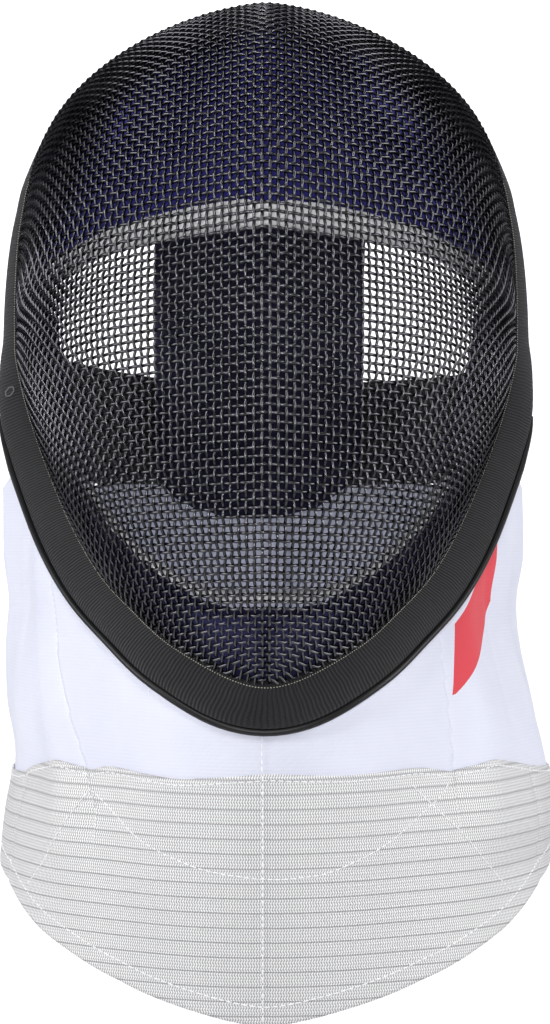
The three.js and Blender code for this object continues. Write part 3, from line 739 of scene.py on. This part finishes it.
def makeTrim():
    section = closedCurve(trim["section"], trim["around"])
    rings = onFrames(rim, section[None, :, 0] * tapeWidth(rim["row"])[:, None], section[None, :, 1])
    rings = closed(rings)
    rings = np.concatenate([rings, rings[:, :1]], 1)
    uv = flatMap(arcLength(closed(rim["edge"])), arcLength(closed(section * (trim["meanWidth"], 1))))
    thing = addObject("trim_tape", rings, gridFaces(*rings.shape[:2]), tapeMaterial, uv)
    ridesAs(thing, "trim", "trim_band")


def lowerFrames(limit):
    # the frames below the ears, from the left side round the chin to the right
    low = rim["row"] <= limit
    order = np.concatenate([np.flatnonzero(low & ~rim["right"]), np.flatnonzero(low & rim["right"])])
    return {key: rim[key][order] for key in ("edge", "out", "up", "row")}


def makePiping():
    low = lowerFrames(piping["lastRow"])
    left = (piping["lastRow"] - low["row"]) / piping["taper"]
    radius = piping["radius"] * np.sqrt(np.clip(left, piping["thinnest"], 1))
    angle = np.arange(piping["sides"]) * 2 * math.pi / piping["sides"]
    outer = tapeWidth(low["row"]) + 2 * radius - piping["tuck"]
    away = outer[:, None] - radius[:, None] * (1 - np.cos(angle)[None])
    height = piping["up"] + radius[:, None] * np.sin(angle)[None]
    rings = onFrames(low, away, height)
    faces = gridFaces(*rings.shape[:2], closeColumns=True)
    thing = addObject("trim_piping_cord", rings, faces, pipingMaterial)
    ridesAs(thing, "lip", "trim_piping")


def makeEdgeFold():
    # the white fold of the bib that shows as a thin line under the trim
    low = lowerFrames(piping["lastRow"] - piping["taper"])
    outer = tapeWidth(low["row"]) + 2 * piping["radius"] - piping["tuck"]
    path = low["edge"] + low["out"] * outer[:, None] + low["up"] * edgeFold["up"]
    tube = tubeMesh([path], [low["up"]], edgeFold["radius"], edgeFold["sides"])
    ridesAs(addObject("bib_edge_fold", *tube, whiteThread), "bib")


def makeSeam():
    path = closed(rim["edge"]) + closed(rim["out"]) * seam["in"]
    ridesAs(addObject("trim_seam", *stitchMesh([path], [closed(rim["up"])], seam), seamThread), "trim")


makeTrim()
makePiping()
makeEdgeFold()
makeSeam()
print("Trim made")


# Padded linings and the tongue: each swells from a slightly smaller copy of its solid

# soften is rounds of smoothing, cap the most that a point moves, over how far the pad ends past its solid,
# reach a further side past it, and square fills the tongue out towards its sides
pads = {
    "crown_lining": {"name": "crown_pad", "shrink": 1.4, "cap": 3.5, "voxel": 5, "soften": 2, "fill": 0.7,
                     "jersey": "crown", "over": 0.5},
    "side_lining_left": {"name": "side_pad_left", "shrink": 1.0, "cap": 3, "voxel": 4, "soften": 2,
                         "fill": 0.8, "jersey": "chin", "over": 0.5, "reachRight": 3.5},
    "side_lining_right": {"name": "side_pad_right", "shrink": 1.0, "cap": 3, "voxel": 4, "soften": 2,
                          "fill": 0.8, "jersey": "chin", "over": 0.5, "reachLeft": 3.5},
    "chin_lining": {"name": "chin_pad", "shrink": 1.2, "cap": 0.9, "voxel": 2.2, "soften": 3, "fill": 0.6,
                    "jersey": "chin", "over": 0},
    "tongue": {"name": "tongue_pad", "shrink": 1.2, "cap": 4, "voxel": 5, "soften": 2, "fill": 0.7,
               "jersey": "tongue", "over": 0.5, "square": 1.35},
}
swelling = {"weld": 0.01, "pressure": 4, "quality": 4, "frames": 20}


def meshPoints(mesh):
    values = np.empty(len(mesh.vertices) * 3, np.float32)
    mesh.vertices.foreach_get("co", values)
    return values.reshape(-1, 3).astype(float)


def applyModifiers(thing):
    # swaps the mesh for the one its modifiers give
    depsgraph = bpy.context.evaluated_depsgraph_get()
    mesh = bpy.data.meshes.new_from_object(thing.evaluated_get(depsgraph))
    thing.modifiers.clear()
    thing.data = mesh
    return mesh


def swellPad(node, spec):
    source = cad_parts[node]
    pad = bpy.data.objects.new(spec["name"], source.data.copy())
    scene.collection.objects.link(pad)
    weld = pad.modifiers.new("weld", "WELD")
    weld.merge_threshold = swelling["weld"] * mm
    remesh = pad.modifiers.new("remesh", "REMESH")
    remesh.mode = "VOXEL"
    remesh.voxel_size = spec["voxel"] * mm
    smooth = pad.modifiers.new("soften", "SMOOTH")
    smooth.iterations = spec["soften"]
    mesh = applyModifiers(pad)
    normals = np.empty(len(mesh.vertices) * 3, np.float32)
    mesh.vertices.foreach_get("normal", normals)
    start = meshPoints(mesh) - normals.reshape(-1, 3) * spec["shrink"] * mm
    mesh.vertices.foreach_set("co", start.astype(np.float32).ravel())
    mesh.update()
    cloth = pad.modifiers.new("cloth", "CLOTH")
    cloth.settings.use_pressure = True
    cloth.settings.uniform_pressure_force = swelling["pressure"]
    cloth.settings.effector_weights.gravity = 0
    cloth.settings.quality = swelling["quality"]
    cloth.point_cache.frame_start = 1
    cloth.point_cache.frame_end = swelling["frames"]
    for step in range(1, swelling["frames"] + 1):
        scene.frame_set(step)
    mesh = applyModifiers(pad)
    scene.frame_set(1)
    move = meshPoints(mesh) - start
    size = np.linalg.norm(move, axis=1, keepdims=True)
    move *= np.minimum(1, spec["cap"] * mm / np.maximum(size, 1e-9))
    mesh.vertices.foreach_set("co", (start + move).astype(np.float32).ravel())
    mesh.update()
    low, high = (np.array(end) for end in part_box(node))
    now = meshPoints(mesh)
    share = (now - now.min(0)) / (now.max(0) - now.min(0))
    if "square" in spec:
        off = 2 * share[:, 0] - 1
        share[:, 0] = 0.5 + 0.5 * np.sign(off) * (1 - (1 - np.abs(off)) ** spec["square"])
    low[0] -= spec.get("reachLeft", 0) * mm
    high[0] += spec.get("reachRight", 0) * mm
    full = low - spec["over"] * mm + share * (high - low + 2 * spec["over"] * mm)
    mesh.vertices.foreach_set("co", full.astype(np.float32).ravel())
    mesh.polygons.foreach_set("use_smooth", np.ones(len(mesh.polygons), bool))
    mesh.materials.clear()
    mesh.materials.append(jerseys[spec["jersey"]])
    mesh.update()
    subdivide = pad.modifiers.new("subdivide", "SUBSURF")
    subdivide.levels = subdivide.render_levels = 1
    ridesAs(pad, "lining", node)
    print(" ", spec["name"], len(mesh.vertices), "points")


for padNode, padSpec in pads.items():
    swellPad(padNode, padSpec)
print("Pads swelled")


# Bindings on the lining edges

bindings = {
    "binding_upper": {"name": "upper_binding_tape", "reach": 0.77, "thick": 4.5, "top": 3.2, "taller": 0.1},
    "binding_lower": {"name": "lower_binding_tape", "reach": 0.6267, "thick": 4.5, "top": 3.2, "taller": 0},
}
bindingRows = {"gap": 0.05, "tall": 0.29, "crownFrom": 8.4}
bindingShape = {"steps": 121, "sides": 17, "squareness": 0.6, "bulge": 0.46, "pucker": 0.25, "puckers": 260}
chinEdge = {"middle": 2.1, "rise": 19, "power": 4.4, "top": 5.2}


def bindingRow(node, across):
    # the lowest row of a binding at a place across
    if node == "binding_upper":
        return np.full_like(across, bindingRows["crownFrom"] - bindingRows["tall"] - bindingRows["gap"])
    rise = chinEdge["rise"] * np.abs(2 * across - 1) ** chinEdge["power"]
    return np.minimum(chinEdge["middle"] + rise, chinEdge["top"]) + bindingRows["gap"]


def makeBinding(node, spec):
    shape = bindingShape
    across = np.linspace((1 - spec["reach"]) / 2, (1 + spec["reach"]) / 2, shape["steps"])
    angle = np.linspace(0, 2 * math.pi, shape["sides"])
    tall = bindingRows["tall"] - bindingRows["gap"] + spec["taller"]
    up = signedPower(np.cos(angle), shape["squareness"])[None]
    rows = bindingRow(node, across)[:, None] + tall * (0.5 + 0.5 * up)
    under = signedPower(np.sin(angle), shape["squareness"])[None]
    pucker = shape["pucker"] * np.sin(across * shape["puckers"])[:, None]
    depth = spec["top"] + spec["thick"] * (0.5 + shape["bulge"] * under) + pucker
    grid = bowlMap.at(rows, across[:, None], depth)[0]
    uv = flatMap(arcLength(grid[:, 0]), arcLength(grid[len(grid) // 2]))
    thing = addObject(spec["name"], grid, gridFaces(*grid.shape[:2]), bindingMaterial, uv)
    ridesAs(thing, "binding", node)


for bindingNode, bindingSpec in bindings.items():
    makeBinding(bindingNode, bindingSpec)
print("Bindings made")


# Strap

strap = {
    "endX": 108.8, "endY": 24, "backY": 122.6, "top": -124, "bottom": -176, "wall": 2, "squareness": 2.5,
    "leftRise": 6, "sag": 2, "middle": (0, 40, -150), "curve": 241, "long": 161, "tall": 15,
}


def makeStrap():
    angle = np.linspace(0, math.pi, strap["curve"])
    wide, deep = (signedPower(turn(angle), 2 / strap["squareness"]) for turn in (np.cos, np.sin))
    line = np.stack([strap["endX"] * wide, strap["endY"] + (strap["backY"] - strap["endY"]) * deep], -1)
    arc = arcLength(line)
    even = np.linspace(0, arc[-1], strap["long"])
    line = follow(even, arc, line)
    heights = np.linspace(strap["bottom"], strap["top"], strap["tall"])
    grid = np.empty((len(line), len(heights), 3))
    grid[..., :2] = line[:, None]
    side = line[:, 0] / strap["endX"]
    rise = strap["leftRise"] * smoothstep(-side, 0.2, 1) - strap["sag"] * (1 - side ** 2)
    grid[..., 2] = heights[None] + rise[:, None] * np.linspace(0, 1, len(heights))[None]
    uv = flatMap(even, heights)
    normals = gridNormals(grid)
    inward = (normals * (grid - strap["middle"])).sum(-1).mean() < 0
    outer = grid + (-normals if inward else normals) * strap["wall"]
    if inward:
        outer, uv = outer[:, ::-1], uv[:, ::-1]
    thing = clothBody("elastic_strap", outer, strap["wall"], elasticMaterial, uv)
    ridesAs(thing, "elastic", "back_strap")


makeStrap()
print("Strap made")


# Bib

bib = {
    "left": 113.5, "right": 119, "leftTop": 117.5, "rightTop": 114.5, "front": 105, "back": 131,
    "squareness": 2.5, "lapStep": 4.2, "lapFrom": 140, "wingFrom": 96, "wingTo": 183, "wingSteps": 59,
    "seatOut": 12, "seatUp": -5.2, "frontRow": 5.714, "thick": 2, "rows": 96, "columns": 451,
    "foldTop": -225, "foldLow": -310,
    # degrees round the neck, height
    "wingTop": [(96, -181), (115, -183), (150, -175), (183, -170)],
    "hem": [(0, -391), (15, -385), (30, -376), (51, -361), (70, -346), (90, -337), (120, -327), (150, -315),
            (184, -308)],
    # height, how far the left and the right side swing out
    "sway": [(-182, 0, 0), (-212, 0, -1), (-230, -1.7, -4.4), (-249, 0, -3.6), (-275, 0, 1.4), (-297, -3, 5),
             (-320, -0.5, 6.4), (-338, 0, 2)],
    # degrees at the top and low down, height, width in degrees
    "folds": [(-72, -48, 3.5, 8), (58, 51, 3.5, 8), (-8, -20, 2, 9)],
    "creases": [(-25, -32, 0.5, 2.2), (22, 31, 0.45, 2.5), (75, 66, 0.6, 2.2), (-84, -76, 0.6, 2.4)],
    "tucks": [(-67, -39, 2.4, 4), (48.5, 41.5, 2, 4)],  # the front lies over the sides here
    "puckers": [(2.6, 0.35, 0.4), (5.1, 0.22, 2.2)],  # phase in a third of a radian, height, start
    # shares of the height: where the folds are full, where they fade and by how much, where creases and tucks
    # run out, and where the puckers are full
    "foldsFull": 0.15, "foldsFade": 0.6, "foldsLose": 0.8, "creasesEnd": (0.45, 0.7), "tucksEnd": (0.5, 0.75),
    "puckersFull": 0.2,
    "seam": (0.8, 0.9),  # depth, width in degrees
}
lame = {
    "gap": 0.35, "thick": 0.7, "rows": 60, "overHem": 1.004,
    "sideSeam": (71, 0.6, 1.1),  # degrees round the neck, depth, width in degrees
    # degrees round the neck, height
    "top": [(-184, -303), (-100, -304), (-74, -302), (-67, -298), (-52, -293.4), (-42, -296.8), (-36.7, -294),
            (-17, -297), (0, -294), (15, -295.5), (34, -294.4), (41.7, -297.2), (54, -293.6), (76, -300),
            (100, -303), (184, -303)],
}


def aroundNeck(around, side, width, z):
    # points round the neck at degrees from the front, 0 to 183, on one side
    turn = np.radians(around)
    shape = np.where(around > 90, 2 / bib["squareness"], 1.0)
    lap = np.where(side > 0, bib["lapStep"] * smoothstep(around, bib["lapFrom"], bib["wingTo"] - 8), 0)
    deep = np.where(around > 90, bib["back"] + lap, bib["front"])
    return np.stack([side * width * signedPower(np.sin(turn), shape),
                     -deep * signedPower(np.cos(turn), shape), z + 0 * around], -1)


def bibColumns():
    # the top and hem point of every column, from the left end round the front to the right end
    low = lowerFrames(bib["frontRow"] + 0.01)
    top = low["edge"] + low["out"] * bib["seatOut"] + low["up"] * bib["seatUp"]
    around = np.degrees(np.arctan2(top[:, 0], -top[:, 1]))
    tops, angles = [top], [around]
    wing = np.linspace(bib["wingFrom"], bib["wingTo"], bib["wingSteps"])
    for side, width in ((-1, bib["leftTop"]), (1, bib["rightTop"])):
        height = lookUp(bib["wingTop"], wing)[:, 0]
        place = aroundNeck(wing, side, width, height)
        if side < 0:
            tops.insert(0, place[::-1])
            angles.insert(0, -wing[::-1])
        else:
            tops.append(place)
            angles.append(wing)
    top, around = np.vstack(tops), np.concatenate(angles)
    even = np.linspace(around[0], around[-1], bib["columns"])
    top = follow(even, around, top)
    side = np.where(even < 0, -1, 1)
    width = np.where(even < 0, bib["left"], bib["right"])
    height = lookUp(bib["hem"], np.abs(even))[:, 0]
    return even, top, aroundNeck(np.abs(even), side, width, height)


bibAround, bibTop, bibHem = bibColumns()


def bibPoints(share):
    # the bib's outer face; share holds one value for each row and column, 0 at the top and 1 at the hem
    points = bibTop[None] + (bibHem - bibTop)[None] * share[..., None]
    around = np.broadcast_to(bibAround, share.shape)
    swing = lookUp(bib["sway"], points[..., 2])
    swing = np.where(around < 0, swing[..., 0], swing[..., 1]) * np.abs(np.sin(np.radians(around))) ** 3
    points[..., 0] += np.sign(around) * swing
    outward = unit(points * (1, 1, 0))
    down = np.clip((bib["foldTop"] - points[..., 2]) / (bib["foldTop"] - bib["foldLow"]), 0, 1)
    fade = (smoothstep(share, 0, bib["foldsFull"])
            * (1 - bib["foldsLose"] * smoothstep(share, bib["foldsFade"], 1)))
    rise = np.zeros_like(share)

    def fromLine(high, low, width):
        # how far each point lies beside a fold, in widths of it
        return (around - (high + (low - high) * down)) / width

    for high, low, height, width in bib["folds"]:
        rise += height * fade * np.exp(-fromLine(high, low, width) ** 2)
    for high, low, height, width in bib["creases"]:
        off = fromLine(high, low, width)
        rise -= height * fade * np.exp(-off ** 2) * (1 - smoothstep(share, *bib["creasesEnd"]))
    for high, low, height, width in bib["tucks"]:
        off = fromLine(high, low, width) * np.sign(high)
        ends = 1 - smoothstep(share, *bib["tucksEnd"])
        rise -= height * fade * np.exp(-np.maximum(off, 0)) * (off > 0) * ends
    for waves, height, start in bib["puckers"]:
        wave = np.sin(np.radians(around) * waves * 3 + start + 2 * share)
        rise += height * wave * smoothstep(share, 0, bib["puckersFull"])
    deep, wide = bib["seam"]  # down the middle of the front
    rise -= deep * np.exp(-(around / wide) ** 2)
    return points + outward * rise[..., None]


def clothMap(grid):
    # level millimetres: distance round the neck at mid height, and height
    middle = arcLength(grid[len(grid) // 2])
    middle = middle - middle[len(middle) // 2]
    return np.stack([np.broadcast_to(middle, grid.shape[:2]), grid[..., 2]], -1)


def evenShares(count, end):
    # even shares of the height, down every column
    return np.linspace(0, end, count)[:, None] * np.ones(len(bibAround))[None]


def makeBib():
    share = evenShares(bib["rows"], 1)
    grid = bibPoints(share)
    uv = clothMap(grid)
    down = np.cumsum(np.linalg.norm(np.diff(grid, axis=0, prepend=grid[:1]), axis=-1), axis=0)
    along = arcLength(grid[0])
    along = along - along[len(along) // 2]
    fromTrim = np.stack([np.broadcast_to(along, share.shape), down], -1)
    thing = clothBody("bib_white_cloth", grid, bib["thick"], twillMaterial, uv, fromTrim)
    ridesAs(thing, "bib", "bib_cloth")
    area = np.linalg.norm(np.cross(np.diff(grid, axis=0)[:, :-1], np.diff(grid, axis=1)[:-1]), axis=-1).sum()
    print("  bib cloth area, square metres:", round(area * mm ** 2, 4))


def lameShare():
    # how far down each column the silver panel starts
    top = np.interp(bibAround, *np.array(lame["top"]).T)
    top = np.convolve(np.pad(top, 2, "edge"), np.ones(5) / 5, "valid")
    return (bibTop[:, 2] - top) / (bibTop[:, 2] - bibHem[:, 2])


def lamePoints(share):
    # the panel's outer face over the bib, and its normals
    grid = bibPoints(share)
    normals = gridNormals(grid)
    flip = np.where((normals * (grid * (1, 1, 0))).sum(-1, keepdims=True) < 0, -1, 1)
    place, deep, wide = lame["sideSeam"]
    lift = lame["gap"] + lame["thick"] - deep * np.exp(-((np.abs(bibAround) - place) / wide) ** 2)
    return grid + normals * flip * lift[:, None], normals * flip


def makeLame():
    start = lameShare()
    share = start[None] + (lame["overHem"] - start)[None] * np.linspace(0, 1, lame["rows"])[:, None]
    grid, _ = lamePoints(share)
    thing = clothBody("bib_silver_panel", grid, lame["thick"], lameMaterial, clothMap(grid))
    ridesAs(thing, "lame", "bib_lame")


makeBib()
makeLame()
print("Bib made")


# Stitch lines on the bib

stitches = {
    "spec": {"length": 2.3, "gap": 0.7, "radius": 0.32, "lift": 0.12},
    # degrees round the neck, height
    "lines": {
        "throat": [(-42, -303), (-36.7, -308), (-27.8, -319), (-22.4, -324), (-17, -328), (-11, -331.5),
                   (0, -334.3), (7.4, -333.6), (12.3, -332), (22, -324.5), (27.7, -318.5), (33, -312),
                   (38.5, -305), (41, -299)],
        "left": [(-41.5, -303), (-44.8, -313), (-50.8, -329.6), (-54.1, -337), (-59.6, -346)],
        "right": [(31, -300.5), (35.7, -309.6), (42, -321), (46.7, -331), (51, -339), (55.6, -347)],
    },
    "onCloth": {"middle": [(-0.8, -276), (-0.8, -294)], "tuck": [(-24.4, -259), (-25.6, -267)]},
    "hemUp": 7, "topDown": 2.2, "beside": -0.8, "middleEnd": 0.995, "reach": 170,
    # points along a line, the hem, the middle seam and a thread on the cloth
    "lineSteps": 160, "hemSteps": 900, "middleSteps": 200, "clothSteps": 30,
    "gridRows": 260, "gridEnd": 1.003,
}
panelGrid, panelNormals = lamePoints(evenShares(stitches["gridRows"], stitches["gridEnd"]))


def surfaceLine(around, share):
    # a line on the panel's face, and its normals; around and share run along it
    column = np.interp(around, bibAround, np.arange(len(bibAround)))
    last = stitches["gridRows"] - 1
    row = np.clip(share / stitches["gridEnd"] * last, 0, last - 0.001)
    return sampleGrid(panelGrid, row, column), unit(sampleGrid(panelNormals, row, column))


def shareAt(around, z):
    top = np.interp(around, bibAround, bibTop[:, 2])
    hem = np.interp(around, bibAround, bibHem[:, 2])
    return (top - z) / (top - hem)


def makeStitches():
    paths, normals = [], []

    def add(around, share, under=0.0):
        path, normal = surfaceLine(around, share)
        paths.append(path - normal * under)
        normals.append(normal)

    for line in stitches["lines"].values():
        place = np.linspace(0, len(line) - 1, stitches["lineSteps"])
        around, z = between(line, place).T
        add(around, shareAt(around, z))
    around = np.linspace(-stitches["reach"], stitches["reach"], stitches["hemSteps"])
    hem = np.interp(around, bibAround, bibHem[:, 2])
    add(around, shareAt(around, hem + stitches["hemUp"]))
    top = np.interp(around, bibAround, bibTop[:, 2])
    start = np.interp(around, bibAround, lameShare())
    add(around, shareAt(around, top * (1 - start) + hem * start - stitches["topDown"]))
    middle = float(lameShare()[len(bibAround) // 2])
    share = np.linspace(middle, stitches["middleEnd"], stitches["middleSteps"])
    add(np.full_like(share, stitches["beside"]), share)
    for line in stitches["onCloth"].values():
        around, z = np.linspace(line[0], line[1], stitches["clothSteps"]).T
        add(around, shareAt(around, z), lame["gap"] + lame["thick"])
    thing = addObject("bib_stitches", *stitchMesh(paths, normals, stitches["spec"]), whiteThread)
    ridesAs(thing, "bib")


makeStitches()
print("Stitches made")


# Thread loop at the left ear

loop = {
    "long": 2.6, "wide": 1.5, "radius": 0.25, "row": 6.5, "away": 4.2, "lift": 4.1, "turn": 55, "tilt": -40,
    "sides": 6, "steps": 49, "tubeSides": 6,
}


def makeLoop():
    index = np.argmin(np.abs(rim["row"] - loop["row"]) + 100 * rim["right"])
    edge, out, up = rim["edge"][index], rim["out"][index], rim["up"][index]
    along = unit(np.cross(out, up))
    centre = edge + out * loop["away"] + up * loop["lift"]
    turn = math.radians(loop["turn"])
    tall = out * math.cos(turn) + up * math.sin(turn)
    corner = np.arange(loop["sides"] + 1) * 2 * math.pi / loop["sides"]
    fine = np.linspace(0, loop["sides"], loop["steps"])
    place = np.arange(loop["sides"] + 1)
    long = np.interp(fine, place, np.cos(corner) * loop["long"])
    wide = np.interp(fine, place, np.sin(corner) * loop["wide"])
    tilt = math.radians(loop["tilt"])
    ring = np.stack([long * math.cos(tilt) - wide * math.sin(tilt),
                     long * math.sin(tilt) + wide * math.cos(tilt)], -1)
    path = centre + ring[:, :1] * along + ring[:, 1:] * tall
    normal = np.broadcast_to(unit(np.cross(along, tall)), path.shape)
    tube = tubeMesh([path], [normal], loop["radius"], loop["tubeSides"])
    ridesAs(addObject("ear_thread_loop", *tube, greyThread), "trim")


makeLoop()
print("Thread loop made")


# Floor, backdrop and light

# metres, as the lights and the camera are
stage = {"floor": -1.3, "half": 7, "front": -3.5, "back": 2.2, "bend": 0.8, "high": 4.4, "steps": 16}


def makeStage():
    # one pale sheet that runs from the floor up behind the mask
    bend = np.linspace(0, math.pi / 2, stage["steps"])
    profile = [(stage["front"], stage["floor"])]
    profile += [(stage["back"] - stage["bend"] + stage["bend"] * math.sin(a),
                 stage["floor"] + stage["bend"] * (1 - math.cos(a))) for a in bend]
    profile += [(stage["back"], stage["floor"] + stage["high"])]
    grid = np.array([[(x, y, z) for y, z in profile] for x in (-stage["half"], stage["half"])]) / mm
    material, tree, shader = startMaterial("pale_studio_paper", {
        "Base Color": linear("#fbfbfd"), "Roughness": 0.9, "Specular IOR Level": 0.1})
    fibre = addNode(tree, "TexNoise", {}, {"Scale": 400.0})
    finishSurface(tree, shader, [((fibre, "Fac"), 0.1, 0.1)])
    sweep = addObject("studio_sweep", grid, gridFaces(*grid.shape[:2])[:, ::-1], material)


# place, what it looks at, size, power
lights = {
    "flash": ((-0.03, -1.0, -0.18), (0, -0.05, -0.2), 0.12, 2.9),
    "key": ((-0.5, -1.3, 0.9), (0, -0.05, -0.15), 0.4, 7.4),
    "left": ((-1.6, -0.5, 0.2), (0, -0.05, -0.15), 1.2, 20),
    "right": ((1.6, -0.5, 0.2), (0, -0.05, -0.15), 1.2, 21),
    "top": ((0.1, -0.35, 1.2), (0, 0, -0.1), 0.7, 4),
    "behind": ((0, 0.9, 0.9), (0, 2.2, 0.1), 1.6, 32),
}
room = {"colour": "#f4f6ff", "strength": 0.1}


def makeLights():
    for name, (place, target, size, power) in lights.items():
        data = bpy.data.lights.new(name, "AREA")
        data.size = size
        data.energy = power
        light = bpy.data.objects.new(name, data)
        light.location = place
        light.rotation_euler = (Vector(target) - Vector(place)).to_track_quat("-Z", "Y").to_euler()
        scene.collection.objects.link(light)
    world = bpy.data.worlds.new("studio")
    world.use_nodes = True
    background = world.node_tree.nodes["Background"]
    background.inputs["Color"].default_value = linear(room["colour"])
    background.inputs["Strength"].default_value = room["strength"]
    scene.world = world
    scene.view_settings.view_transform = "Standard"


makeStage()
makeLights()
print("Stage and lights made")
